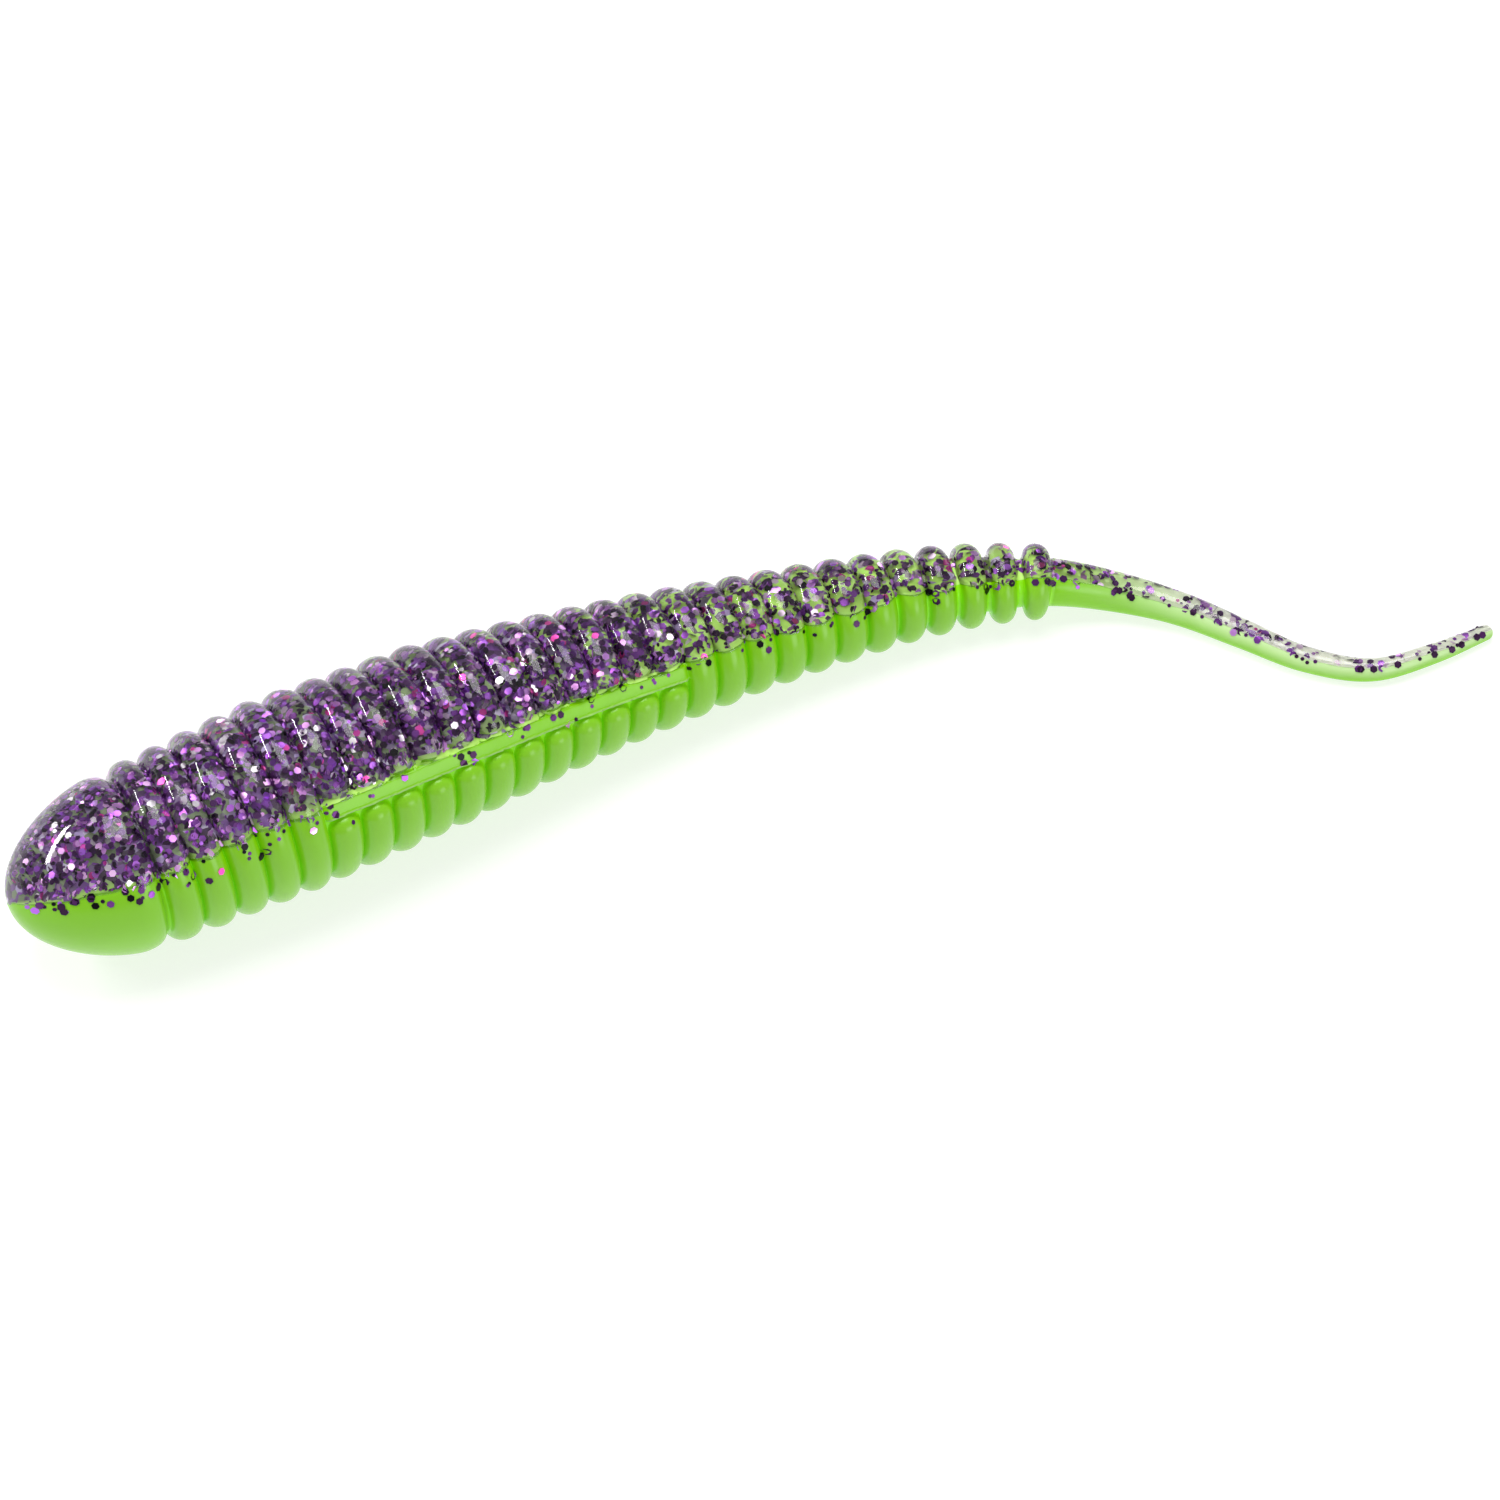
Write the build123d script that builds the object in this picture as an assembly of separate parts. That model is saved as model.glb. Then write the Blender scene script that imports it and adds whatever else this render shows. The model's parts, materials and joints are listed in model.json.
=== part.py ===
from build123d import *
import math
import os

# A ribbed soft plastic fishing worm, lying on a table in a gentle S and rolled part way on its side.
# It is poured from two colours of soft vinyl: a clear back and an opaque belly, fused on one flat plane.
# The soft body bends anywhere, so it is cut at its grooves into short segments that hinge on each other.
# Every segment has two nodes, its back and its belly. All sizes are in millimetres and degrees.

# Lengths along the body
nose_length = 9.0             # nose tip to the groove before the first ring
ring_pitch = 2.23
rings_on_head = 1
rings_per_segment = 2
trunk_segments = 14
tail_length = 31.2
tail_segments = 7

# Head
head_radius = 5.9
nose_shoulder = 1.65          # from the nose's widest point to the end of nose_length
nose_taper = nose_length - nose_shoulder
nose_power = 1.42             # 2 is an ellipse, less is more pointed
nose_points = 7               # of the curve, closest together at the tip
nose_spacing = 1.6
shoulder_drop = 0.25          # how far the shoulder has fallen at most of its length
shoulder_share = 0.75

# Rings: crest diameter at some rings, counted from 1 at the head
ring_diameters = [(1, 12.3), (5, 13.1), (10, 12.3), (15, 10.1), (20, 8.0), (25, 6.3), (29, 5.1)]
groove_depth = 0.95
groove_width = 0.48
flank_run = 0.15              # how far a rib's flank leans in
crest_rise = 0.3
rib_width = ring_pitch - groove_width
rib_crest = rib_width - 2 * flank_run

# Tail: diameter at shares of its length
tail_diameters = [(0.0, 3.2), (0.26, 2.3), (0.52, 1.8), (0.84, 1.4), (1.0, 1.0)]
tail_droop = 0.16             # share of the tail in which it sinks to the table

# Smooth land along each flank, which interrupts some of the ribs
land_first_ring = 6
land_last_ring = 17
land_half_width = 0.6
land_below_crest = 0.5

# Where the two colours meet: a plane this far above the axis, less where the worm is thin
parting_height = 0.6
parting_share = 0.4

# How it lies
roll = 36.0                   # the back leans this far from upright, away from the near side
ring_headings = [(-4, 24.5), (1, 26.0), (5, 26.5), (9, 27.4), (13, 27.0), (17, 23.5), (21, 20.8), (25, 17.0),
                 (27, 10.0), (29, 2.5)]
tail_headings = [(0.0, 8.0), (0.16, -10.5), (0.32, -24.5), (0.45, -27.0), (0.58, -23.5), (0.71, 3.0),
                 (0.84, 29.0), (1.0, 25.5)]

# Hinges: half the total swing, a knuckle on the rear segment and its socket on the front one
front_swing = 9.0             # up to the thickest ring
rear_swing = 14.0             # at the last ring
tail_swing = 22.0
relief_margin = 1.0           # added to the swing when the gap between two segments is cut
knuckle_share = 0.28          # knuckle radius as a share of the core's radius
tail_knuckle_share = 0.42
knuckle_clearance = 0.06
stub_share = 1.2              # stub in front of a segment's hinge, as a share of the knuckle's radius

reach = 30.0                  # half size of the cutting blocks, larger than any segment
nudge = 0.01                  # small step that tells one side of a joint from the other


def between(stations, at):
    """Straight-line value at a place, from a list of (place, value)."""
    if at <= stations[0][0]:
        return stations[0][1]
    for (a, low), (b, high) in zip(stations, stations[1:]):
        if at <= b:
            return low + (high - low) * (at - a) / (b - a)
    return stations[-1][1]


ring_count = rings_on_head + rings_per_segment * trunk_segments
head_length = nose_length + rings_on_head * ring_pitch
trunk_end = nose_length + ring_count * ring_pitch
body_length = trunk_end + tail_length
largest_ring = max(ring_diameters, key=lambda station: station[1])[0]


def ring_number(along):
    """Ring number at a distance from the nose tip, with a whole number at each crest."""
    return (along - nose_length) / ring_pitch + 0.5


def tail_share(along):
    return (along - trunk_end) / tail_length


def crest_radius(along):
    """Radius over the crests on the head and trunk, and of the plain tail behind them."""
    if along > trunk_end:
        return between(tail_diameters, tail_share(along)) / 2
    return between(ring_diameters, ring_number(along)) / 2


def axis_height(along):
    """Height of the axis when the crests, and further back the tail, rest on the table."""
    if along <= trunk_end:
        return crest_radius(along)
    sink = (ring_diameters[-1][1] - tail_diameters[0][1]) / 2
    return crest_radius(along) + sink * max(0.0, 1 - tail_share(along) / tail_droop)


def heading(along):
    """Direction of the axis in plan, in degrees from +X towards +Y."""
    if along > trunk_end:
        return between(tail_headings, tail_share(along))
    return between(ring_headings, ring_number(along))


def swing(along):
    """Largest turn each way of the hinge at a distance from the nose tip."""
    if along > trunk_end:
        return tail_swing
    return between([(largest_ring, front_swing), (ring_count, rear_swing)], ring_number(along))


def core_radius(along):
    """Radius at the bottom of the grooves, and of the tail behind them."""
    if along > trunk_end - nudge:
        return crest_radius(along + nudge)
    return crest_radius(along) - groove_depth


def knuckle_radius(along):
    """The last trunk segment's socket and everything behind it follow the tail, which is thinner."""
    return (tail_knuckle_share if along > trunk_end - nudge else knuckle_share) * core_radius(along)


def lay_out():
    """The segments from nose to tail: name, first and last distance from the nose tip, and the axis between."""
    spans = [("head", 0.0, head_length)]
    for i in range(trunk_segments):
        start = head_length + i * rings_per_segment * ring_pitch
        spans.append((f"trunk_{i + 1:02d}", start, start + rings_per_segment * ring_pitch))
    for i in range(tail_segments):
        start = trunk_end + i * tail_length / tail_segments
        spans.append((f"tail_{i + 1}", start, start + tail_length / tail_segments))
    point = Vector(0, 0, axis_height(0))
    segments = []
    for name, start, end in spans:
        length = end - start
        rise = axis_height(end) - axis_height(start)
        level = math.sqrt(length ** 2 - rise ** 2)
        turn = math.radians(heading((start + end) / 2))
        after = point + Vector(level * math.cos(turn), level * math.sin(turn), rise)
        segments.append({"name": name, "start": start, "end": end, "front": point, "rear": after})
        point = after
    return segments


def segment_plane(segment):
    """Plane with its X along the segment's axis, its Y level and its origin at the front end."""
    along = (segment["rear"] - segment["front"]).normalized()
    level = Vector(0, 0, 1).cross(along).normalized()
    return Plane(origin=segment["front"], x_dir=along, z_dir=along.cross(level))


def rib(start, middle, core):
    """Outline of one rib, from foot to foot, in the plane of the axis: steep flanks and a low round crest."""
    top = crest_radius(start + middle)
    edge = top - crest_rise
    foot_a = (middle - rib_width / 2, core(middle - rib_width / 2))
    foot_b = (middle + rib_width / 2, core(middle + rib_width / 2))
    edge_a = (middle - rib_crest / 2, edge)
    edge_b = (middle + rib_crest / 2, edge)
    lines = [Line(foot_a, edge_a), ThreePointArc(edge_a, (middle, top), edge_b), Line(edge_b, foot_b)]
    return lines, foot_a, foot_b


def nose_outline(core_radius):
    """Outline of the bullet nose from its tip to the first groove."""
    points = []
    for i in range(nose_points + 1):
        x = nose_taper * (i / nose_points) ** nose_spacing
        grown = 1 - ((nose_taper - x) / nose_taper) ** nose_power
        points.append((x, head_radius * math.sqrt(grown)))
    groove = nose_length - (ring_pitch - rib_width) / 2
    turn = (nose_taper + shoulder_share * (groove - nose_taper), head_radius - shoulder_drop)
    curve = Spline(points, tangents=[(0, 1), (1, 0)])
    return [curve, ThreePointArc(points[-1], turn, (groove, core_radius))], (groove, core_radius)


def turned(lines):
    """Solid turned from an outline that starts and ends on the axis."""
    return revolve(make_face(Wire(lines)), Axis.X, 360)


def ribbed_body(segment):
    """The head or a trunk segment as one turned solid, with a plain stub in front for its knuckle."""
    start = segment["start"]
    length = segment["end"] - start
    front_core = core_radius(start)
    rear_core = crest_radius(segment["end"]) - groove_depth

    def core(x):
        return front_core + (rear_core - front_core) * x / length

    if segment["name"] == "head":
        front_core = rear_core
        lines, last = nose_outline(rear_core)
        first_ring = nose_length
    else:
        stub = (-knuckle_radius(start) * stub_share, front_core)
        lines = [Line((stub[0], 0), stub)]
        last = stub
        first_ring = 0.0
    rings = round((length - first_ring) / ring_pitch)
    for i in range(rings):
        rib_lines, foot_a, foot_b = rib(start, first_ring + (i + 0.5) * ring_pitch, core)
        lines += [Line(last, foot_a)] + rib_lines
        last = foot_b
    lines += [Line(last, (length, rear_core)), Line((length, rear_core), (length, 0))]
    lines += [Line((length, 0), (lines[0] @ 0))]
    return turned(lines)


def tail_body(segment, is_last):
    """A tail segment as one turned solid, rounded at the very tip."""
    length = segment["end"] - segment["start"]
    front = crest_radius(segment["start"] + nudge)
    rear = crest_radius(segment["end"])
    stub = -knuckle_radius(segment["start"]) * stub_share
    straight = length - rear if is_last else length
    lines = [Line((stub, 0), (stub, front)), Line((stub, front), (0, front)), Line((0, front), (straight, rear))]
    if is_last:
        middle = (straight + rear * math.sin(math.pi / 4), rear * math.cos(math.pi / 4))
        lines.append(ThreePointArc((straight, rear), middle, (length, 0)))
    else:
        lines.append(Line((straight, rear), (length, 0)))
    lines.append(Line((length, 0), (stub, 0)))
    return turned(lines)


def with_land(body, segment):
    """Replaces the ribs by a smooth land along both flanks."""
    length = segment["end"] - segment["start"]
    front = crest_radius(segment["start"]) - land_below_crest
    rear = crest_radius(segment["end"]) - land_below_crest
    lines = [Line((0, 0), (0, front)), Line((0, front), (length, rear)), Line((length, rear), (length, 0)),
             Line((length, 0), (0, 0))]
    smooth = turned(lines)
    slab = Rot(X=-roll) * Pos(length / 2, 0, 0) * Box(length, reach, 2 * land_half_width)
    return body - (slab - smooth) + (slab & smooth)


def joint_plane(before, after, upright):
    """Plane at a hinge with its Z on the hinge's axis and its X pointing to the tail."""
    along = (after["rear"] - after["front"]).normalized() + (before["rear"] - before["front"]).normalized()
    level = Vector(0, 0, 1).cross(along).normalized()
    if upright:
        return Plane(origin=after["front"], x_dir=level.cross(Vector(0, 0, 1)), z_dir=Vector(0, 0, 1))
    return Plane(origin=after["front"], x_dir=along.normalized(), z_dir=level)


def end_cut(plane, turn, side, keep_radius, socket_radius):
    """Block that trims one segment at a hinge. side is 1 for the rear segment, whose knuckle it leaves, and
    -1 for the front one, in which it also cuts the socket. Its two faces lean back for the swing."""
    lean = reach * math.tan(math.radians((turn + relief_margin) / 2))
    corners = [(0, 0), (side * lean, reach), (-side * reach, reach), (-side * reach, -reach), (side * lean, -reach)]
    block = extrude(make_face(Polyline(corners, close=True)), amount=reach, both=True)
    if side > 0:
        block -= Cylinder(keep_radius, 3 * reach)
    else:
        block += Cylinder(socket_radius, 2 * reach)
    return plane.location * block


def parted(body, segment):
    """The clear back and the belly of a segment, in place, cut on the colour plane."""
    middle = (segment["start"] + segment["end"]) / 2
    height = min(parting_height, parting_share * crest_radius(middle))
    above = Rot(X=-roll) * Pos(0, 0, height + reach) * Box(4 * reach, 2 * reach, 2 * reach)
    above = segment_plane(segment).location * above
    return body & above, body - above


def build():
    """All solids by node name, and the hinges, with the origin under the middle of the whole worm."""
    segments = lay_out()
    solids = {}
    hinges = []
    for i, (before, after) in enumerate(zip(segments, segments[1:])):
        plane = joint_plane(before, after, upright=i % 2 == 0)
        hinges.append({"parent": before["name"], "child": after["name"], "plane": plane,
                       "swing": swing(after["start"]), "along": after["start"], "upright": i % 2 == 0})
    for i, segment in enumerate(segments):
        on_tail = segment["start"] >= trunk_end
        body = tail_body(segment, i == len(segments) - 1) if on_tail else ribbed_body(segment)
        first = ring_number(segment["start"]) + 0.5
        last = ring_number(segment["end"]) - 0.5
        if land_first_ring <= first + nudge and last - nudge <= land_last_ring:
            body = with_land(body, segment)
        body = segment_plane(segment).location * body
        if i > 0:
            body -= end_cut(hinges[i - 1]["plane"], hinges[i - 1]["swing"], 1, knuckle_radius(segment["start"]), 0)
        if i < len(hinges):
            socket = knuckle_radius(segment["end"]) + knuckle_clearance
            body -= end_cut(hinges[i]["plane"], hinges[i]["swing"], -1, 0, socket)
        solids[segment["name"] + "_back"], solids[segment["name"] + "_belly"] = parted(body, segment)
    box = Compound(list(solids.values())).bounding_box()
    shift = Pos(-(box.min.X + box.max.X) / 2, -(box.min.Y + box.max.Y) / 2, -box.min.Z)
    for name in solids:
        solids[name] = shift * solids[name]
    for hinge in hinges:
        hinge["plane"] = Plane(shift * hinge["plane"].location)
    return solids, hinges


def main():
    solids, hinges = build()
    os.makedirs("parts", exist_ok=True)
    for name, solid in solids.items():
        export_step(solid, f"parts/{name}.step")
    whole = Compound(list(solids.values())).bounding_box()
    print(f"{len(solids)} nodes, {len(hinges)} hinges, {body_length:.1f} mm along the body")
    print(f"box {whole.size.X:.2f} x {whole.size.Y:.2f} x {whole.size.Z:.2f} mm")


if __name__ == "__main__":
    main()
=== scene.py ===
import json
import math

import bpy
import numpy as np
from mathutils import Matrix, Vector

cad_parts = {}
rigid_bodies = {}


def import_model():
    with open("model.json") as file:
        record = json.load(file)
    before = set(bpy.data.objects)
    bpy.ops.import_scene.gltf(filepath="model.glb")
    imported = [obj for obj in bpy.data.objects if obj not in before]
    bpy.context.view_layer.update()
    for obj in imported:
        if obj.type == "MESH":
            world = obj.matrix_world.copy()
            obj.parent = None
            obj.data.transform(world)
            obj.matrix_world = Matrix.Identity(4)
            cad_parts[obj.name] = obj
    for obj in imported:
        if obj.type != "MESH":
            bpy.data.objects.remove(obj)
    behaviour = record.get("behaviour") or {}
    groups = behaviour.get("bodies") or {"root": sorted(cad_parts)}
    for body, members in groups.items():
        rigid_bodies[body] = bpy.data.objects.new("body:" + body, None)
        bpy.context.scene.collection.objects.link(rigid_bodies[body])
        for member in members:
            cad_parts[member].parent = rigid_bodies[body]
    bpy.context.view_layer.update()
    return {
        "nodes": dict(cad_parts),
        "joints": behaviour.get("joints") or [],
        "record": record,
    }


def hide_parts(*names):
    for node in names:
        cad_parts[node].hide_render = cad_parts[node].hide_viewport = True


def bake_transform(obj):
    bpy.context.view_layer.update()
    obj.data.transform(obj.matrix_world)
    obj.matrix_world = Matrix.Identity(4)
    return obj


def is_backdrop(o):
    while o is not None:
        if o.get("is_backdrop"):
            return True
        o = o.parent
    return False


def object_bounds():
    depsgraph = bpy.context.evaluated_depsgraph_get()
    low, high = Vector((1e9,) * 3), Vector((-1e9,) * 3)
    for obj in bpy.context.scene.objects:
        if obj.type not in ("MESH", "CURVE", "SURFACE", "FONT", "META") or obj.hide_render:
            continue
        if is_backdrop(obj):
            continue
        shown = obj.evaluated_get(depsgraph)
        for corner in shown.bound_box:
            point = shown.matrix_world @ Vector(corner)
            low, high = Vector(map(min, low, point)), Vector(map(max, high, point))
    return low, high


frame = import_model()
mm = 0.001

# ---- The lie of the body
# A soft worm takes any curve that it is laid in. Here it lies on a table in a loose S, rolled part way on
# its side. Its axis runs through the hinges of the frame, from the nose tip to the tail tip.
roll = math.radians(36)


def tail_tip():
    """The point of the last tail segment that is furthest from its hinge."""
    hinge = np.array(frame["joints"][-1]["pos_m"])
    mesh = frame["nodes"]["tail_7_belly"].data
    points = np.empty(len(mesh.vertices) * 3)
    mesh.vertices.foreach_get("co", points)
    points = points.reshape(-1, 3)
    return points[np.argmax(np.linalg.norm(points - hinge, axis=1))]


nose_tip = next(m["pos_m"] for m in frame["record"]["mounts"] if m["name"] == "nose_hook_entry")
stops = np.array([nose_tip] + [j["pos_m"] for j in frame["joints"]] + [tail_tip()])
gaps = np.linalg.norm(np.diff(stops, axis=0), axis=1)
marks = np.concatenate([[0.0], np.cumsum(gaps)])
head_end = marks[1]
ring_pitch = (marks[2] - marks[1]) / 2
ring_start = head_end - ring_pitch
tail_segments = 7
trunk_end = marks[-1 - tail_segments]
body_end = marks[-1]


def axis_at(s):
    """Points of the axis and its direction at distances s from the nose tip. Between two stops it is a
    cubic whose direction at each stop is that of the line between the stops on either side."""
    slope = np.gradient(stops, marks, axis=0)
    i = np.clip(np.searchsorted(marks, s, side="right") - 1, 0, len(marks) - 2)
    h = gaps[i][..., None]
    t = ((s - marks[i]) / gaps[i])[..., None]
    a, b, da, db = stops[i], stops[i + 1], slope[i] * h, slope[i + 1] * h
    point = ((2 * t**3 - 3 * t**2 + 1) * a + (t**3 - 2 * t**2 + t) * da
             + (3 * t**2 - 2 * t**3) * b + (t**3 - t**2) * db)
    direction = ((6 * t**2 - 6 * t) * (a - b) + (3 * t**2 - 4 * t + 1) * da + (3 * t**2 - 2 * t) * db)
    return point, direction / np.linalg.norm(direction, axis=-1, keepdims=True)


def cross_frame(s):
    """Axis point, and the directions of the near flank, the back and the tail, at distances s."""
    point, ahead = axis_at(s)
    level = np.cross(ahead, [0.0, 0.0, 1.0])
    level /= np.linalg.norm(level, axis=-1, keepdims=True)
    upright = np.cross(level, ahead)
    flank = math.cos(roll) * level + math.sin(roll) * upright
    back = math.cos(roll) * upright - math.sin(roll) * level
    return point, flank, back, ahead


def place(s, angle, radius):
    """Points at distance s along the axis, at a radius, and at an angle from the near flank to the back."""
    point, flank, back, _ = cross_frame(s)
    return point + radius[..., None] * (np.cos(angle)[..., None] * flank + np.sin(angle)[..., None] * back)


# ---- The moulded surface
# One soft vinyl casting: a bullet nose, 29 rounded rings with narrow grooves, and a thin plain tail. Twelve
# of the rings stop at a smooth land along each flank, where the two halves of the mould meet.
ring_numbers = [1, 5, 10, 15, 20, 25, 29]
ring_radii = np.array([12.3, 13.1, 12.3, 10.1, 8.0, 6.3, 5.1]) / 2 * mm
tail_shares = [0.0, 0.26, 0.52, 0.84, 1.0]
tail_radii = np.array([3.2, 2.3, 1.8, 1.4, 1.0]) / 2 * mm
groove_depth = 0.95 * mm
rib_share = 0.98              # of the pitch that a rib takes up
last_share = 0.76             # and that the last rib does
share_rings = (23, 29)        # rings over which the ribs grow thinner
head_radius = 5.9 * mm
nose_taper = 7.35 * mm
nose_power = 1.42
shoulder = 1.4 * mm
shoulder_power = 2.6
land_rings = (6, 17)
land_half = 0.6 * mm
land_height = 0.46            # as a share of the groove's depth
land_flank = 0.1 * mm
land_start = 0.25             # of a pitch, over which it rises at its two ends
ledge_height = 0.2
ledge_half = 0.08 * mm
rib_end = 1.15 * mm           # length over which a rib rounds off beside the land
split_heights = [0.45, 0.5, 0.6, 0.6, 0.75, 0.95]      # mm above the axis, where the two colours meet
split_rings = [1, 6, 10, 17, 23, 29]
split_share = 0.4             # most that it is of the radius
split_wander = 0.16 * mm      # the line strays this far to either side, in three waves
wander_waves = [(1.9 * mm, 1.0, 0.0), (0.83 * mm, 0.7, 1.1), (0.37 * mm, 0.5, 2.3)]  # length, height, phase
wander_peak = 1.5             # that the three add up to now and then
wander_radius = 3 * mm        # the line strays less where the body is thinner than this
nose_rows, shoulder_rows, rib_rows, tail_rows, tip_rows = 16, 4, 5, 50, 4      # for each step of fineness
nose_first = 0.004            # of the taper, where the first row lies
nose_crowding = 1.8           # more than 1: rows lie closer together towards the tip
tip_turn = 1.53               # radians round the tail's tip to its last row, just short of a quarter turn


def ring_number(s):
    return (s - ring_start) / ring_pitch + 0.5


def smooth_step(t):
    t = np.clip(t, 0.0, 1.0)
    return t * t * (3 - 2 * t)


def crest_radius(s):
    """Radius over the crests, and of the plain tail, which rounds off at its tip."""
    tail = np.interp((s - trunk_end) / (body_end - trunk_end), tail_shares, tail_radii)
    tip = np.clip((s - body_end + tail_radii[-1]) / tail_radii[-1], 0, 1)
    trunk = np.interp(ring_number(s), ring_numbers, ring_radii)
    return np.where(s > trunk_end, tail * np.sqrt(1 - tip**2), trunk)


def core_radius(s):
    """Radius at the bottom of the grooves, and of the tail behind them."""
    return np.where(s > trunk_end, crest_radius(s), crest_radius(s) - groove_depth)


def nose_radius(s):
    """Bullet curve from the tip, then a round shoulder down to the first groove."""
    grown = np.sqrt(np.clip(1 - np.clip((nose_taper - s) / nose_taper, 0, 1) ** nose_power, 0, 1))
    fallen = np.sqrt(np.clip(1 - (np.clip(s - nose_taper, 0, shoulder) / shoulder) ** shoulder_power, 0, 1))
    low = core_radius(np.full_like(s, ring_start))
    return np.where(s < nose_taper, head_radius * grown, low + (head_radius - low) * fallen)


def rib_half(number):
    """Half of a rib's width, as a share of the pitch: less on the last few rings."""
    return np.interp(number, share_rings, (rib_share, last_share)) / 2


def on_land(s):
    """1 along the land, and 0 before its first ring and behind its last one."""
    number = ring_number(s)
    first = smooth_step((number - land_rings[0] + 0.5) / land_start + 0.5)
    last = smooth_step((land_rings[1] + 0.5 - number) / land_start + 0.5)
    return first * last


def ledge_line(s, angle):
    """The thin ledge along the land's lower edge: a parabola across, from 0 beside it to 1 on its top."""
    upward = np.sin(angle) * crest_radius(s)
    return np.clip(1 - ((upward + land_half - ledge_half) / ledge_half) ** 2, 0, 1) * on_land(s)


def rib_height(s, angle):
    """Height of the ribs and the land, from 0 in a groove to 1 on a crest. A rib is half an ellipse across,
    and beside the land a quarter of an ellipse rounds off its end."""
    number = ring_number(s)
    ring = np.round(number)
    upward = np.abs(np.sin(angle)) * crest_radius(s)
    across = np.abs(number - ring) / rib_half(ring)
    has_land = (ring >= land_rings[0]) & (ring <= land_rings[1])
    cut = np.where(has_land, np.clip((land_half + rib_end - upward) / rib_end, 0, 2), 0)
    rib = np.sqrt(np.clip(1 - across**2 - cut**2, 0, 1))
    edge = smooth_step((land_half - upward) / land_flank + 0.5)
    land = land_height * edge * on_land(s) + ledge_height * ledge_line(s, angle)
    return np.maximum(rib, land)


def surface_radius(s, angle):
    ribbed = core_radius(s) + groove_depth * rib_height(s, angle)
    return np.where(s < ring_start, nose_radius(s), np.where(s > trunk_end, crest_radius(s), ribbed))


def split_angle(s):
    """Angle from the flank up to the line where the clear back meets the belly. It wanders a little."""
    across = np.maximum(surface_radius(s, np.full_like(s, math.pi / 2)), 0.02 * mm)
    waves = sum(height * np.sin(s / length + phase) for length, height, phase in wander_waves)
    wander = split_wander * waves / wander_peak
    level = np.interp(ring_number(s), split_rings, split_heights) * mm
    height = np.minimum(level, split_share * across) + wander * np.minimum(1, across / wander_radius)
    return np.arcsin(np.clip(height / across, -1, 0.98))


def stations(fine):
    """Distances from the nose tip of the rows of the surface, closest on the flanks of the ribs. In each
    ring they go as a sine across the rib, and one more lies in the middle of the groove."""
    nose = nose_taper * np.linspace(nose_first, 1, nose_rows * fine) ** nose_crowding
    drop = nose_taper + shoulder * np.sin(np.linspace(0, math.pi / 2, shoulder_rows * fine + 1)[1:])
    turn = np.append(np.sin(np.linspace(-math.pi / 2, math.pi / 2, rib_rows * fine + 1)), 0)
    ring = np.arange(1, ring_numbers[-1] + 1)[:, None]
    turns = rib_half(ring) * turn
    turns[:, -1] = 0.5
    rings = ring_start + ring_pitch * (ring - 0.5 + turns).ravel()
    tip_start = body_end - tail_radii[-1]
    tail = np.linspace(trunk_end, tip_start, tail_rows * fine)[1:]
    tip = tip_start + tail_radii[-1] * np.sin(np.linspace(0, tip_turn, tip_rows * fine + 1)[1:])
    return np.concatenate([nose, drop, [ring_start], rings, tail, tip])


# The skin is made in spans, each from the middle of one segment to the middle of the next.
spans = range(len(frame["joints"]))
last_span = spans[-1]
body_names = [frame["joints"][0]["parent"]] + [j["child"] for j in frame["joints"]]
middles = (marks[1:-2] + marks[2:-1]) / 2
span_ends = np.concatenate([[0.0], middles, [body_end]])


def span_rows(k, all_rows):
    """The rows of span k: those inside it, and one at each of its cuts."""
    clear = 0.001 * mm
    inside = all_rows[(all_rows > span_ends[k] + clear) & (all_rows < span_ends[k + 1] - clear)]
    first = [] if k == 0 else [span_ends[k]]
    last = [] if k == last_span else [span_ends[k + 1]]
    return np.concatenate([first, inside, last])


def closed_skin(name, points, first_tip, last_tip, k):
    """Mesh of span k from a grid of points, rows along the body and columns round it. Each row closes on
    itself, and each end is a fan to a point: part of the round surface at a real tip, and a flat cut
    elsewhere. The edge of a cut is sharp, so the surface beside it is shaded as if it went on."""
    rows, columns = points.shape[:2]
    index = np.arange(rows * columns).reshape(rows, columns)
    after = np.roll(index, -1, axis=1)
    quads = np.stack([index[:-1], index[1:], after[1:], after[:-1]], axis=-1).reshape(-1, 4)
    tips = rows * columns
    first = np.stack([np.full(columns, tips), index[0], after[0]], axis=-1)
    last = np.stack([np.full(columns, tips + 1), after[-1], index[-1]], axis=-1)
    mesh = bpy.data.meshes.new(name)
    points = np.concatenate([points.reshape(-1, 3), [first_tip, last_tip]])
    mesh.from_pydata(points.tolist(), [], quads.tolist() + first.tolist() + last.tolist())
    round_first, round_last = k == 0, k == last_span
    smooth = np.ones(len(mesh.polygons), bool)
    smooth[len(quads):len(quads) + columns] = round_first
    smooth[len(quads) + columns:] = round_last
    mesh.polygons.foreach_set("use_smooth", smooth)
    ends = np.empty(2 * len(mesh.edges), int)
    mesh.edges.foreach_get("vertices", ends)
    row = ends.reshape(-1, 2) // columns
    cut_first = np.all(row == 0, axis=1) & (not round_first)
    cut_last = np.all(row == rows - 1, axis=1) & (not round_last)
    mesh.attributes.new("sharp_edge", "BOOLEAN", "EDGE").data.foreach_set("value", cut_first | cut_last)
    piece = bpy.data.objects.new(name, mesh)
    bpy.context.scene.collection.objects.link(piece)
    return piece


def mark(piece, name, values):
    """Stores one number for each point of a piece, with none for the two tips."""
    values = np.concatenate([np.ravel(values), np.zeros(len(piece.data.vertices) - np.size(values))])
    piece.data.attributes.new(name, "FLOAT", "POINT").data.foreach_set("value", values.astype(np.float32))


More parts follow.
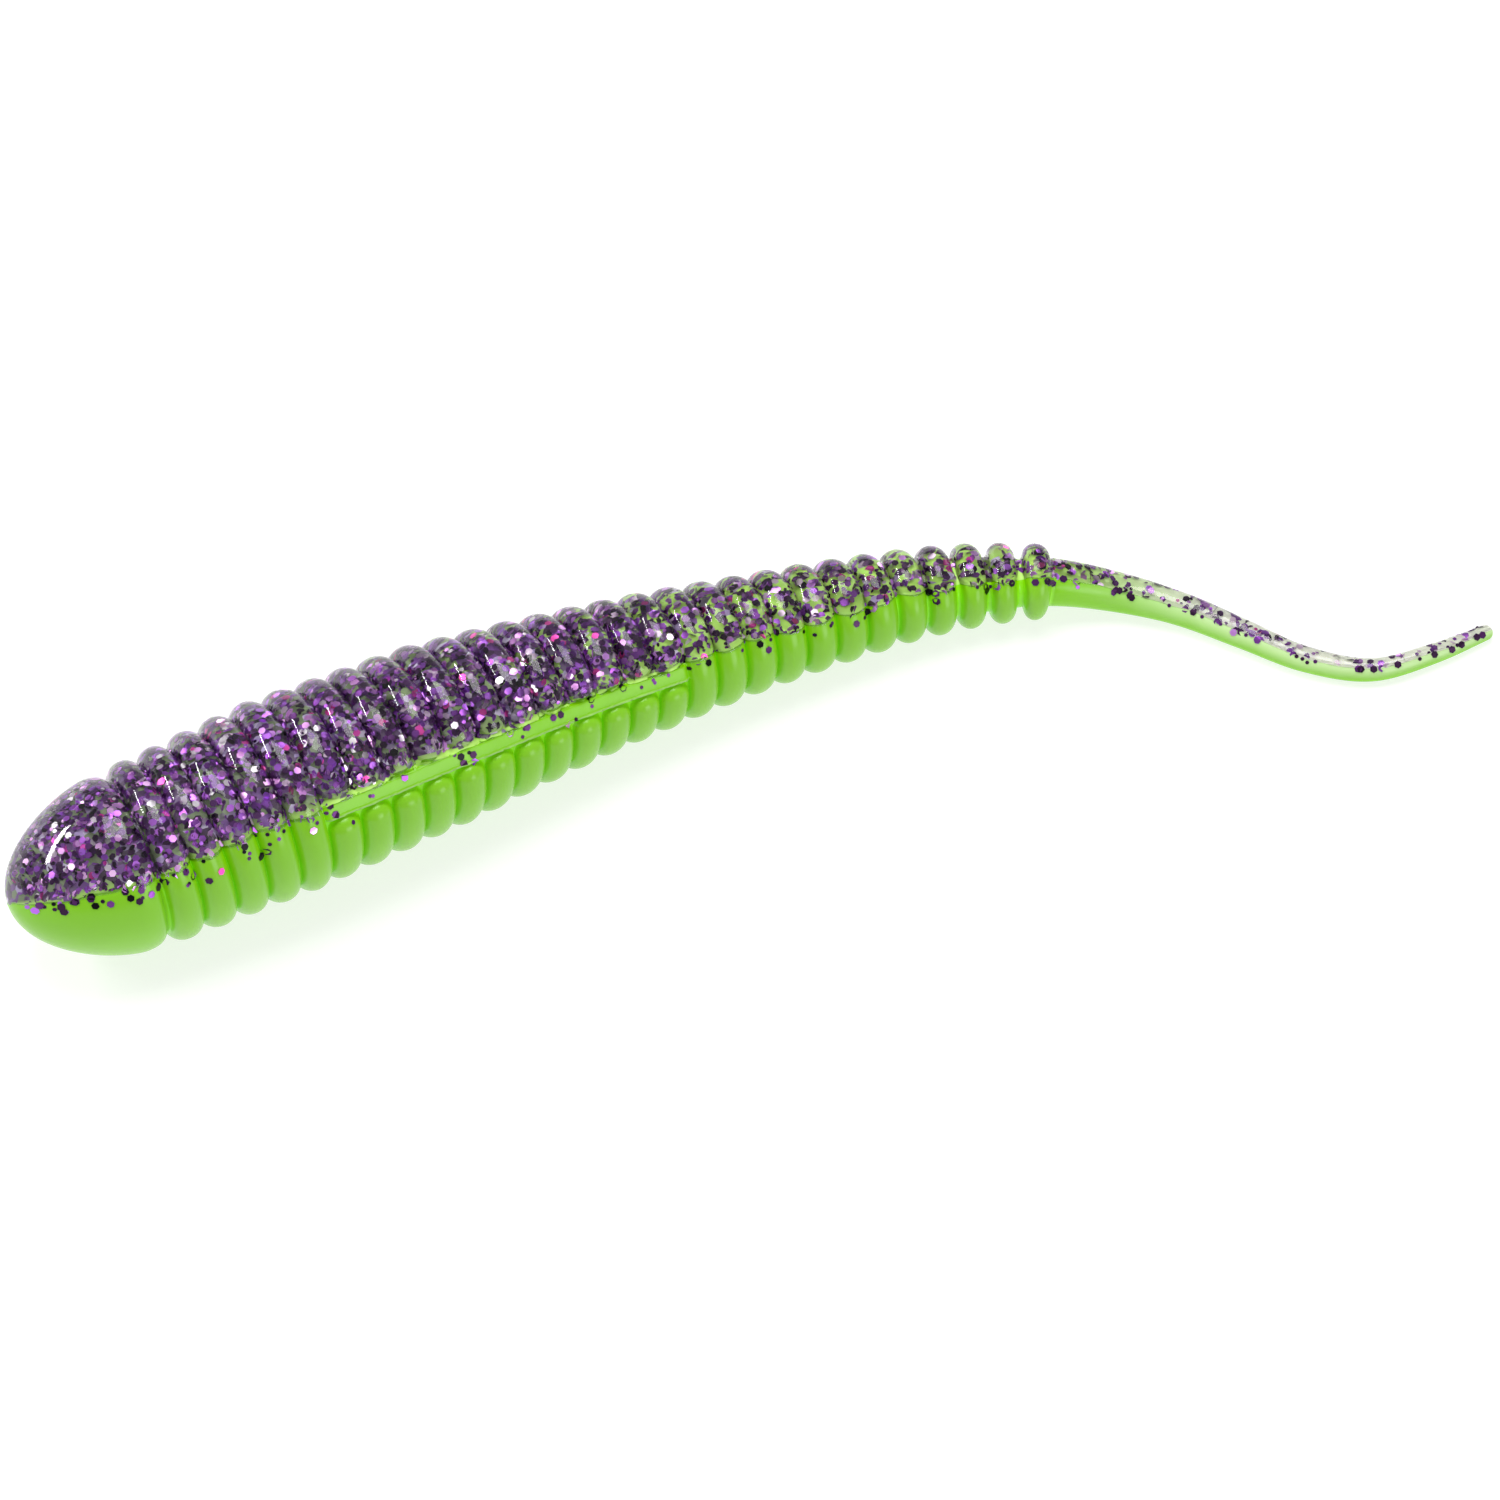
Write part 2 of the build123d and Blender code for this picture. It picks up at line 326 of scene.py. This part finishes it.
def across_hinge(piece):
    """Bakes the piece's placement into its points."""
    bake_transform(piece)


def stood_for(k, side):
    """The frame's nodes that span k is shown for."""
    first = [body_names[0] + side] if k == 0 else []
    return first + [body_names[k + 1] + side]


# ---- Green belly
# The lower shot of the casting: opaque chartreuse vinyl with a wet gloss. It is poured first, so its edge
# runs a little way up under the clear back, and the green fades there.
# Painted light: the groove green is lighter than the rest, and the grooves also emit faintly, for light
# through the vinyl.
lit_groove_green = (0.27, 0.76, 0.0, 1)
belly_flank = (0.20, 0.55, 0.0, 1)
belly_crest = (0.20, 0.52, 0.01, 1)
painted_groove_glow = (0.03, 0.09, 0.0, 1)
belly_pale = (0.66, 0.80, 0.50, 1)
cloudiness = 0.3
creep = math.radians(14)      # how far the belly runs up under the clear back
creep_depth = 1.3 * mm
creep_most = 0.45             # of the radius, where the body is thin
close_band = math.radians(26)             # below each colour line, with close columns for the land
close_columns = 46
wide_columns = 42
belly_floor = (0.9, 5)        # how wide the skin's hidden side is, and its points
nose_tone = 0.75              # as on the flank of a rib
tail_tone = 0.5
tail_fade = 0.68
tail_fade_band = math.radians(75)
tail_fade_slope = 2.2         # the tail turns pale over less than half of its length
tail_fade_start = 0.1         # and has begun to at its root
bloom = 0.06                  # faint paleness low on the ribs
bloom_band = math.radians(60)
ledge_paleness = 0.35


def node(tree, kind, **values):
    made = tree.nodes.new("ShaderNode" + kind)
    for key, value in values.items():
        if key in made.inputs:
            made.inputs[key].default_value = value
        else:
            setattr(made, key, value)
    return made


def shader(name, **values):
    """A material with its Principled shader's own sockets set."""
    material = bpy.data.materials.new(name)
    material.use_nodes = True
    bsdf = material.node_tree.nodes["Principled BSDF"]
    for key, value in values.items():
        bsdf.inputs[key.replace("_", " ")].default_value = value
    return material, material.node_tree, bsdf


def ramp(tree, source, stops_and_colours):
    """Colour ramp from a list of (place, colour), driven by a socket."""
    made = tree.nodes.new("ShaderNodeValToRGB")
    elements = made.color_ramp.elements
    while len(elements) < len(stops_and_colours):
        elements.new(0.5)
    for element, (at, colour) in zip(elements, stops_and_colours):
        element.position = at
        element.color = colour
    tree.links.new(source, made.inputs["Fac"])
    return made.outputs["Color"]


def green_vinyl():
    """Yellower, lighter green in the grooves, and a faint emission there: painted light for what comes
    through the vinyl from both walls. Paler on the crests, with faint cloudy streaks of uneven mixing."""
    material, tree, bsdf = shader("green vinyl", Roughness=0.24, IOR=1.42, Emission_Strength=1.0)
    height = node(tree, "Attribute", attribute_name="rib")
    place_on = node(tree, "TexCoord")
    cloud = node(tree, "TexNoise", Scale=420.0, Detail=3.0, Roughness=0.6)
    tree.links.new(place_on.outputs["Object"], cloud.inputs["Vector"])
    shift = node(tree, "Math", operation="MULTIPLY_ADD")
    tree.links.new(cloud.outputs["Fac"], shift.inputs[0])
    shift.inputs[1].default_value = cloudiness
    tree.links.new(height.outputs["Fac"], shift.inputs[2])
    colour = ramp(tree, shift.outputs[0], [(0.1, lit_groove_green), (0.6, belly_flank), (1.0, belly_crest)])
    # Painted light: the grooves emit, though the vinyl is no lamp.
    glow = ramp(tree, height.outputs["Fac"], [(0.0, painted_groove_glow), (0.9, (0, 0, 0, 1))])
    tree.links.new(glow, bsdf.inputs["Emission Color"])
    pale = node(tree, "Attribute", attribute_name="pale")
    mixed = node(tree, "Mix", data_type="RGBA")
    mixed.inputs["B"].default_value = belly_pale
    tree.links.new(pale.outputs["Fac"], mixed.inputs["Factor"])
    tree.links.new(colour, mixed.inputs["A"])
    tree.links.new(mixed.outputs["Result"], bsdf.inputs["Base Color"])
    grain = node(tree, "TexNoise", Scale=2600.0, Detail=2.0)
    tree.links.new(place_on.outputs["Object"], grain.inputs["Vector"])
    bump = node(tree, "Bump", Strength=0.12, Distance=0.00006)
    tree.links.new(grain.outputs["Fac"], bump.inputs["Height"])
    tree.links.new(bump.outputs["Normal"], bsdf.inputs["Normal"])
    return material


def belly_angles(s):
    """Columns round the belly, from just above the near colour line down under the worm to the far one.
    They are closest near the two colour lines, where the land is."""
    fine = np.linspace(-creep, close_band, close_columns)
    low = split_angle(s)[:, None]
    whole = math.pi + 2 * low
    coarse = close_band + (whole - 2 * close_band) * np.linspace(0, 1, wide_columns + 2)[None, 1:-1]
    below = np.concatenate([np.tile(fine, (len(s), 1)), coarse, whole - fine[::-1]], axis=1)
    return low - below, below, whole


def chord(points, share, count):
    """Adds points that close each row with a straight line between its two ends, drawn in by a share."""
    middle = (points[:, :1] + points[:, -1:]) / 2
    a = middle + (points[:, -1:] - middle) * share
    b = middle + (points[:, :1] - middle) * share
    t = np.linspace(0, 1, count)[None, :, None]
    return np.concatenate([points, a + (b - a) * t], axis=1)


def beside_chord(values, count, filling):
    """Adds to the values of each row those of the points of its closing line."""
    return np.concatenate([values, np.full((len(values), count), filling)], axis=1)


def tail_share_at(s):
    """How pale the vinyl is: from nearly 0 at the root of the tail to 1 half way along it."""
    return smooth_step((s - trunk_end) / (body_end - trunk_end) * tail_fade_slope + tail_fade_start)


belly_material = green_vinyl()
rows = stations(4)
for k in spans:
    s = span_rows(k, rows)
    angle, below, whole = belly_angles(s)
    along = np.repeat(s[:, None], angle.shape[1], axis=1)
    edge = np.minimum(below, whole - below)
    outer = surface_radius(along, angle)
    sunk = np.minimum(creep_depth, creep_most * outer) * smooth_step(-edge / creep)
    skin = chord(place(along, angle, outer - sunk)[:, ::-1], *belly_floor)
    centre = axis_at(s[[0, -1]])[0]
    belly = closed_skin(f"green_belly_{k + 1:02d}", skin, centre[0], centre[1], k)
    height = np.where(along > trunk_end, tail_tone, rib_height(along, angle))
    height = np.where(along < ring_start, nose_tone, height)
    mark(belly, "rib", beside_chord(height[:, ::-1], belly_floor[1], 0))
    pale = tail_fade * tail_share_at(along) * (1 - smooth_step(edge / tail_fade_band))
    pale += ledge_paleness * ledge_line(along, angle)
    pale += bloom * smooth_step(edge / bloom_band) * (along < trunk_end)
    mark(belly, "pale", beside_chord(pale[:, ::-1], belly_floor[1], 0))
    belly.data.materials.append(belly_material)
    across_hinge(belly)
    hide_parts(*stood_for(k, "_belly"))


# ---- Deep flakes in the back
# Below its first millimetre the clear back is so full of flakes that nothing shows through it: a dark bed
# of purple foil in smoky vinyl, with painted shade in the gaps between the flakes. Towards the tail it
# holds fewer, and the green shows from below.
bed_depth = 0.14 * mm         # below the bottom of the grooves
bed_rib = 0.12                # how much the bed rises in each rib
nose_depth = 0.75 * mm
tail_depth = 0.3              # of the tail's radius
most_depth = 0.4              # of the radius anywhere
bed_bank = math.radians(24)   # the bed comes up beside the colour lines over this much
bank_foot = 0.04              # depth left at the lines themselves
bed_spill = math.radians(4)   # how far it reaches below them
bed_columns = 48
bed_floor = (0.85, 4)
open_share = (0.34, 0.52)     # of the cells with no flake: at the front, and how much more at the back
open_rings = (11, 25)
line_band = math.radians(10)  # few flakes lie this near the lines
line_filling = 0.9            # of the cells that may hold one beyond that
green_rings = (7, 19)         # over these the gaps turn from smoky to green
green_band = math.radians(12)
# Front gaps: smoky vinyl, darkened by painted shade of the layers of flakes above.
smoky_shaded_gap = (0.22, 0.30, 0.15, 1)
green_gap = (0.56, 0.98, 0.16, 1)
pale_gap = (0.95, 1.0, 0.82, 1)
deep_tones = [
    (0.0, (0.045, 0.018, 0.05, 1)), (0.3, (0.09, 0.03, 0.13, 1)), (0.55, (0.24, 0.08, 0.40, 1)),
    (0.75, (0.14, 0.13, 0.13, 1)), (0.9, (0.50, 0.38, 0.70, 1)), (1.0, (0.85, 0.80, 0.95, 1))]


def bed_vinyl():
    """Voronoi cells the size of a flake, each in its own foil colour, with smoky vinyl between them,
    darkened by painted shade of the flakes above.
    """
    material, tree, bsdf = shader("deep flakes", Roughness=0.35, IOR=1.45)
    place_on = node(tree, "TexCoord")
    cells = node(tree, "TexVoronoi", Scale=2100.0, Randomness=1.0)
    tree.links.new(place_on.outputs["Object"], cells.inputs["Vector"])
    tone = node(tree, "SeparateColor")
    tree.links.new(cells.outputs["Color"], tone.inputs["Color"])
    deep = ramp(tree, tone.outputs["Red"], deep_tones)
    pale = node(tree, "Attribute", attribute_name="pale")
    under = ramp(tree, pale.outputs["Fac"], [(0.0, smoky_shaded_gap), (0.5, green_gap), (1.0, pale_gap)])
    thin = node(tree, "Attribute", attribute_name="thin")
    open_cell = node(tree, "Math", operation="LESS_THAN")
    tree.links.new(tone.outputs["Green"], open_cell.inputs[0])
    tree.links.new(thin.outputs["Fac"], open_cell.inputs[1])
    mixed = node(tree, "Mix", data_type="RGBA")
    tree.links.new(open_cell.outputs[0], mixed.inputs["Factor"])
    tree.links.new(deep, mixed.inputs["A"])
    tree.links.new(under, mixed.inputs["B"])
    tree.links.new(mixed.outputs["Result"], bsdf.inputs["Base Color"])
    return material


def above_split(s, angle):
    """Angle above the nearer of the two colour lines."""
    return np.minimum(angle, math.pi - angle) - split_angle(s)


def bed_radius(s, angle):
    """The bed lies a depth below the surface, and rises to it beside the two colour lines in an S curve."""
    outer = surface_radius(s, angle)
    depth = outer - (core_radius(s) - bed_depth + bed_rib * (outer - core_radius(s)))
    depth = np.where(s < ring_start, nose_depth, depth)
    depth = np.where(s > trunk_end, tail_depth * outer, depth)
    bank = bank_foot + (1 - bank_foot) * smooth_step(above_split(s, angle) / bed_bank)
    return outer - np.minimum(depth * bank, most_depth * outer)


def over_rings(s, rings):
    """0 before the first of two rings, 1 after the second, and an S curve between."""
    return smooth_step((ring_number(s) - rings[0]) / (rings[1] - rings[0]))


bed_material = bed_vinyl()
bed_rows = stations(2)
for k in spans:
    s = span_rows(k, bed_rows)
    low = split_angle(s)[:, None] - bed_spill
    angle = low + (math.pi - 2 * low) * np.linspace(0, 1, bed_columns)[None, :]
    along = np.repeat(s[:, None], angle.shape[1], axis=1)
    skin = chord(place(along, angle, bed_radius(along, angle)), *bed_floor)
    bed = closed_skin(f"flake_bed_{k + 1:02d}", skin, skin[0].mean(0), skin[-1].mean(0), k)
    side = above_split(along, angle)
    thin = open_share[0] + open_share[1] * over_rings(along, open_rings)
    thin = np.maximum(thin, 1 - line_filling * smooth_step(side / line_band))
    thin = np.where(along > trunk_end, 1.0, thin)
    mark(bed, "thin", beside_chord(thin, bed_floor[1], 1))
    green = np.maximum(over_rings(along, green_rings), 1 - smooth_step(side / green_band))
    mark(bed, "pale", beside_chord(0.5 * green + 0.5 * tail_share_at(along), bed_floor[1], 1))
    bed.data.materials.append(bed_material)
    across_hinge(bed)


# ---- Clear back
# The upper shot: smoky clear vinyl that forms the other half of every rib. Its wet gloss and its round
# crests bend the light, so the ribs look like glass over the flakes.
skin_lift = 0.004 * mm        # over the belly and the bed, so that the two never share a surface
# Painted shade: the clear vinyl is tinted darker in the grooves.
groove_shade_tint = (0.30, 0.26, 0.32, 1)
crest_tint = (1.0, 0.99, 1.0, 1)
dive = math.radians(3.5)      # the clear back ends in a thin edge just below the colour line
dive_depth = 0.3 * mm
dive_most = 0.2               # of the radius, where the body is thin
dive_columns = 6
edge_band = math.radians(8)   # above each colour line, with close columns
edge_columns = 8
back_columns = 58
back_floor = (0.8, 4)
thinnest = 0.25 * mm          # the clear back stops where the tip is thinner than this
cut_depth = 0.3 * mm          # its cuts are drawn in at the bottom of a groove, out of sight
root_margin = 0.1 * mm        # and left alone from just before the tail on, where no groove hides them


def clear_vinyl():
    """Clear over the crests and darker in the grooves: painted shade, tinted into the vinyl where one looks
    along the walls of two ribs.
    """
    material, tree, bsdf = shader("clear vinyl", Roughness=0.03, IOR=1.46, Transmission_Weight=1.0)
    height = node(tree, "Attribute", attribute_name="rib")
    tint = ramp(tree, height.outputs["Fac"], [(0.0, groove_shade_tint), (0.7, crest_tint)])
    tree.links.new(tint, bsdf.inputs["Base Color"])
    return material


def back_angles(s):
    """Columns over the back, from just below the near colour line to the far one, closest at both."""
    low = split_angle(s)[:, None]
    whole = math.pi - 2 * low
    under = np.linspace(-dive, 0, dive_columns)
    fine = np.concatenate([under, np.linspace(0, edge_band, edge_columns + 1)[1:]])
    top = edge_band + (whole - 2 * edge_band) * np.linspace(0, 1, back_columns + 2)[None, 1:-1]
    inward = np.concatenate([np.tile(fine, (len(s), 1)), top, whole - fine[::-1]], axis=1)
    return low + inward, inward, whole


clear_material = clear_vinyl()
for k in spans:
    s = span_rows(k, rows)
    s = s[surface_radius(s, np.full_like(s, math.pi / 2)) > thinnest]
    angle, inward, whole = back_angles(s)
    along = np.repeat(s[:, None], angle.shape[1], axis=1)
    edge = np.minimum(inward, whole - inward)
    outer = surface_radius(along, angle)
    sunk = np.minimum(dive_depth, dive_most * outer) * smooth_step(-edge / dive)
    in_groove = along < trunk_end - root_margin
    sunk[0] += cut_depth * in_groove[0] * (k > 0)
    sunk[-1] += cut_depth * in_groove[-1] * (k < last_span)
    skin = chord(place(along, angle, outer + skin_lift - sunk), *back_floor)
    back = closed_skin(f"clear_back_{k + 1:02d}", skin, skin[0].mean(0), skin[-1].mean(0), k)
    height = np.where((along < ring_start) | (along > trunk_end), 1.0, rib_height(along, angle))
    mark(back, "rib", beside_chord(height, back_floor[1], 1))
    back.data.materials.append(clear_material)
    across_hinge(back)
    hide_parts(*stood_for(k, "_back"))


# ---- Glitter
# Hexagonal foil flakes, half a millimetre across, stirred into the clear vinyl before it is poured, with
# small ones between them. Most are purple to lilac, some pink, a few black.
flake_radius = 0.25 * mm
flake_thickness = 0.014 * mm
small_radius = 0.14 * mm
flake_cover = 0.02 * mm       # least depth of vinyl over a flake, and above the bed under it
large_count = 6800
small_count = 2400
nose_clear = 0.9 * mm         # no flake lies nearer than this to the tips
tail_clear = 0.6 * mm
sparse_rings = (12, 27)       # over these the flakes thin out
sparse_share = 0.5
tail_density = 0.28
sinking = 1.5                 # more than 1: most flakes lie deep
flake_tilt = 0.42
ring_tilt = 0.75              # the flow round each ring turns flakes edgewise between its walls
land_margin = math.radians(5)             # the rounded ends of the ribs hold few flakes
edge_spill = math.radians(1)
foil_tones = np.array([
    (0.045, 0.015, 0.055), (0.10, 0.025, 0.14), (0.24, 0.06, 0.38), (0.45, 0.14, 0.74),
    (0.80, 0.36, 1.0), (1.0, 0.78, 1.0), (0.85, 0.08, 0.45), (0.006, 0.004, 0.007)])
foil_shares = [0.16, 0.19, 0.18, 0.16, 0.15, 0.10, 0.035, 0.025]
tone_spread = (0.75, 1.3)
glint_rings = [1, 5, 14, 26]
glint_scale = [1.45, 1.1, 1.0, 0.7]        # painted glints: flake colours made lighter near the head, and darker towards the tail
stray_shares = [0.42, 0.24, 0.06, 0.03, 0.02, 0.0, 0.01, 0.22]
stray_count = 240
stray_spans = [0, 4]
stray_density = [2.2, 0.9]                # on the first and from the fifth span, against the mean
stray_reach = math.radians(16)            # how far flakes lie strewn on the green below the colour line
stray_fall = 1.8                          # more than 1: most lie near the line
stray_small = 0.45                        # of the strays are small ones
stray_curve = 1.6 * mm                    # about twice the radius of a rib's crest
random = np.random.default_rng(7)


def foil():
    material, tree, bsdf = shader("foil", Metallic=0.8, Roughness=0.3)
    tone = node(tree, "Attribute", attribute_name="foil")
    tree.links.new(tone.outputs["Color"], bsdf.inputs["Base Color"])
    return material


def scatter(count, radius):
    """Places flakes at random: distance along the body by how wide it is there, angle over the back, and
    depth between the bed and the surface, lying roughly along the surface. Returns the distances, the
    centres, the flakes' normals and a direction across each."""
    s = np.sort(random.uniform(nose_clear, body_end - tail_clear, count * 4))
    width = surface_radius(s, np.full_like(s, math.pi / 2))
    dense = np.where(s > trunk_end, tail_density, 1 - sparse_share * over_rings(s, sparse_rings))
    keep = random.uniform(0, 1, len(s)) < width * dense / width.max()
    s = random.choice(s[keep], count, replace=count > keep.sum())
    low = split_angle(s) + land_margin * on_land(s) - edge_spill
    angle = low + (math.pi - 2 * low) * random.uniform(0, 1, count)
    room = np.min([surface_radius(s + step, angle) for step in (-radius, 0, radius)], axis=0)
    point, flank, back, ahead = cross_frame(s)
    out = np.cos(angle)[:, None] * flank + np.sin(angle)[:, None] * back
    ringed = (s > ring_start) & (s < trunk_end)
    normal = out + random.normal(0, flake_tilt, (count, 3))
    normal += ahead * (ringed * random.normal(0, ring_tilt, count))[:, None]
    normal /= np.linalg.norm(normal, axis=1, keepdims=True)
    rise = radius * np.sqrt(1 - np.sum(normal * out, axis=1) ** 2)
    on_bed = np.minimum(bed_radius(s, angle) + flake_cover, room - flake_cover)
    highest = np.maximum(room - rise - flake_cover, on_bed)
    lowest = np.minimum(on_bed, highest)
    radius_at = lowest + (highest - lowest) * random.uniform(0, 1, count) ** sinking
    side = np.cross(normal, random.normal(0, 1, (count, 3)))
    side /= np.linalg.norm(side, axis=1, keepdims=True)
    return s, point + radius_at[:, None] * out, normal, side


def hexagons(centre, normal, side, radius):
    """Corners of six-sided prisms: two rings of six about each centre."""
    turn = (np.arange(6) * math.pi / 3)[None, :, None]
    other = np.cross(normal, side)
    ring = centre[:, None] + (np.cos(turn) * side[:, None] + np.sin(turn) * other[:, None]) * radius
    half = normal[:, None] * flake_thickness / 2
    return np.concatenate([ring + half, ring - half], axis=1)


def prisms(name, corners, tones):
    """One piece from the twelve corners of each flake, six on top and six below, and a tone for each."""
    count = len(corners)
    flat = np.array([[0, 1, 2, 3], [0, 3, 4, 5], [9, 8, 7, 6], [11, 10, 9, 6]])
    j = np.arange(6)
    sides = np.stack([j, j + 6, (j + 1) % 6 + 6, (j + 1) % 6], axis=1)
    faces = (np.concatenate([flat, sides])[None] + 12 * np.arange(count)[:, None, None]).reshape(-1, 4)
    mesh = bpy.data.meshes.new(name)
    mesh.from_pydata(corners.reshape(-1, 3).tolist(), [], faces.tolist())
    colour = np.repeat(np.concatenate([tones, np.ones((count, 1))], axis=1), 12, axis=0)
    stored = mesh.attributes.new("foil", "FLOAT_COLOR", "POINT")
    stored.data.foreach_set("color", colour.astype(np.float32).ravel())
    piece = bpy.data.objects.new(name, mesh)
    bpy.context.scene.collection.objects.link(piece)
    return piece


def strew_tones(count, shares):
    """A foil colour for each flake, drawn by the shares, and each a little lighter or darker."""
    tones = foil_tones[random.choice(len(foil_tones), count, p=shares)]
    return tones * random.uniform(*tone_spread, (count, 1))


def stray_flakes(name, count, k):
    """Flakes that were trapped on the green, just below the two colour lines. Each is laid on the surface:
    its corners are so far along and so far round, and proud enough to clear a crest."""
    s = random.uniform(span_ends[k] + 3 * flake_radius, span_ends[k + 1] - flake_radius, count)
    drop = stray_reach * random.uniform(0, 1, count) ** stray_fall
    angle = split_angle(s) - drop
    angle = np.where(random.uniform(0, 1, count) < 0.5, angle, math.pi - angle)
    radius = np.where(random.uniform(0, 1, count) < stray_small, small_radius, flake_radius)
    across = surface_radius(s, angle)
    turn = random.uniform(0, math.pi / 3, count)[:, None] + np.arange(6) * math.pi / 3
    along = s[:, None] + radius[:, None] * np.cos(turn)
    round_it = angle[:, None] + (radius / across)[:, None] * np.sin(turn)
    height = surface_radius(along, round_it)
    proud = flake_thickness + (radius**2 / stray_curve)[:, None]
    corners = [place(along, round_it, height + lift) for lift in (proud, -proud)]
    return prisms(name, np.concatenate(corners, axis=1), strew_tones(count, stray_shares))


foil_material = foil()
sizes = [("glitter", large_count, flake_radius), ("fine_glitter", small_count, small_radius)]
for label, count, radius in sizes:
    s, centre, normal, side = scatter(count, radius)
    tones = strew_tones(count, foil_shares)
    # Painted glints: the flakes' colours are made lighter near the head and darker towards the tail.
    tones *= np.interp(ring_number(s), glint_rings, glint_scale)[:, None]
    for k in spans:
        here = (s >= span_ends[k]) & (s < span_ends[k + 1])
        corners = hexagons(centre[here], normal[here], side[here], radius)
        flakes = prisms(f"{label}_{k + 1:02d}", corners, tones[here])
        flakes.data.materials.append(foil_material)
        across_hinge(flakes)
for k in spans:
    share = (span_ends[k + 1] - span_ends[k]) / body_end
    count = int(stray_count * share * np.interp(k, stray_spans, stray_density))
    flakes = stray_flakes(f"stray_glitter_{k + 1:02d}", count, k)
    flakes.data.materials.append(foil_material)
    across_hinge(flakes)


# ---- Table, light and camera
# A plain white table top in a pale room, with a large soft box overhead, a narrow one to the left and a low
# one to the right, seen from in front and above.
bpy.ops.mesh.primitive_plane_add(size=4.0, location=(0, 0, 0))
table = bpy.context.object
table.name = "table"
table_finish = shader("white table", Base_Color=(0.4, 0.4, 0.4, 1), Roughness=0.7,
                      Emission_Color=(1, 1, 1, 1), Emission_Strength=0.7)[0]
table.data.materials.append(table_finish)
table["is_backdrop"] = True


def soft_box(name, position, width, length, power):
    """A rectangular light at a position, in metres, turned to the middle of the worm."""
    data = bpy.data.lights.new(name, "AREA")
    data.shape = "RECTANGLE"
    data.size = width
    data.size_y = length
    data.energy = power
    light = bpy.data.objects.new(name, data)
    bpy.context.scene.collection.objects.link(light)
    light.location = position
    light.rotation_euler = (-Vector(position)).to_track_quat("-Z", "Y").to_euler()


soft_box("overhead_box", (-0.02, 0.13, 0.51), 0.40, 0.28, 2.0)
soft_box("left_key", (-0.40, 0.10, 0.26), 0.26, 0.035, 1.0)
soft_box("low_right_box", (0.48, -0.50, 0.22), 0.38, 0.36, 1.5)
world = bpy.data.worlds.new("pale room")
world.use_nodes = True
room_light = world.node_tree.nodes["Background"].inputs
room_light["Color"].default_value = (1, 1, 1, 1)
room_light["Strength"].default_value = 0.42
bpy.context.scene.world = world
bpy.context.scene.view_settings.view_transform = "Standard"

view_distance = 550 * mm
view_width = 98.7 * mm        # what the picture is wide at the target
view_elevation = math.radians(56)
view_target = np.array([-0.72, 2.4, 0.0]) * mm
camera_data = bpy.data.cameras.new("camera")
camera_data.sensor_width = 36
camera_data.lens = camera_data.sensor_width * view_distance / view_width
camera = bpy.data.objects.new("camera", camera_data)
bpy.context.scene.collection.objects.link(camera)
camera_side = np.array([0, -math.cos(view_elevation), math.sin(view_elevation)])
camera.location = view_target + view_distance * camera_side
camera.rotation_euler = (math.pi / 2 - view_elevation, 0, 0)
bpy.context.scene.camera = camera

low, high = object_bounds()
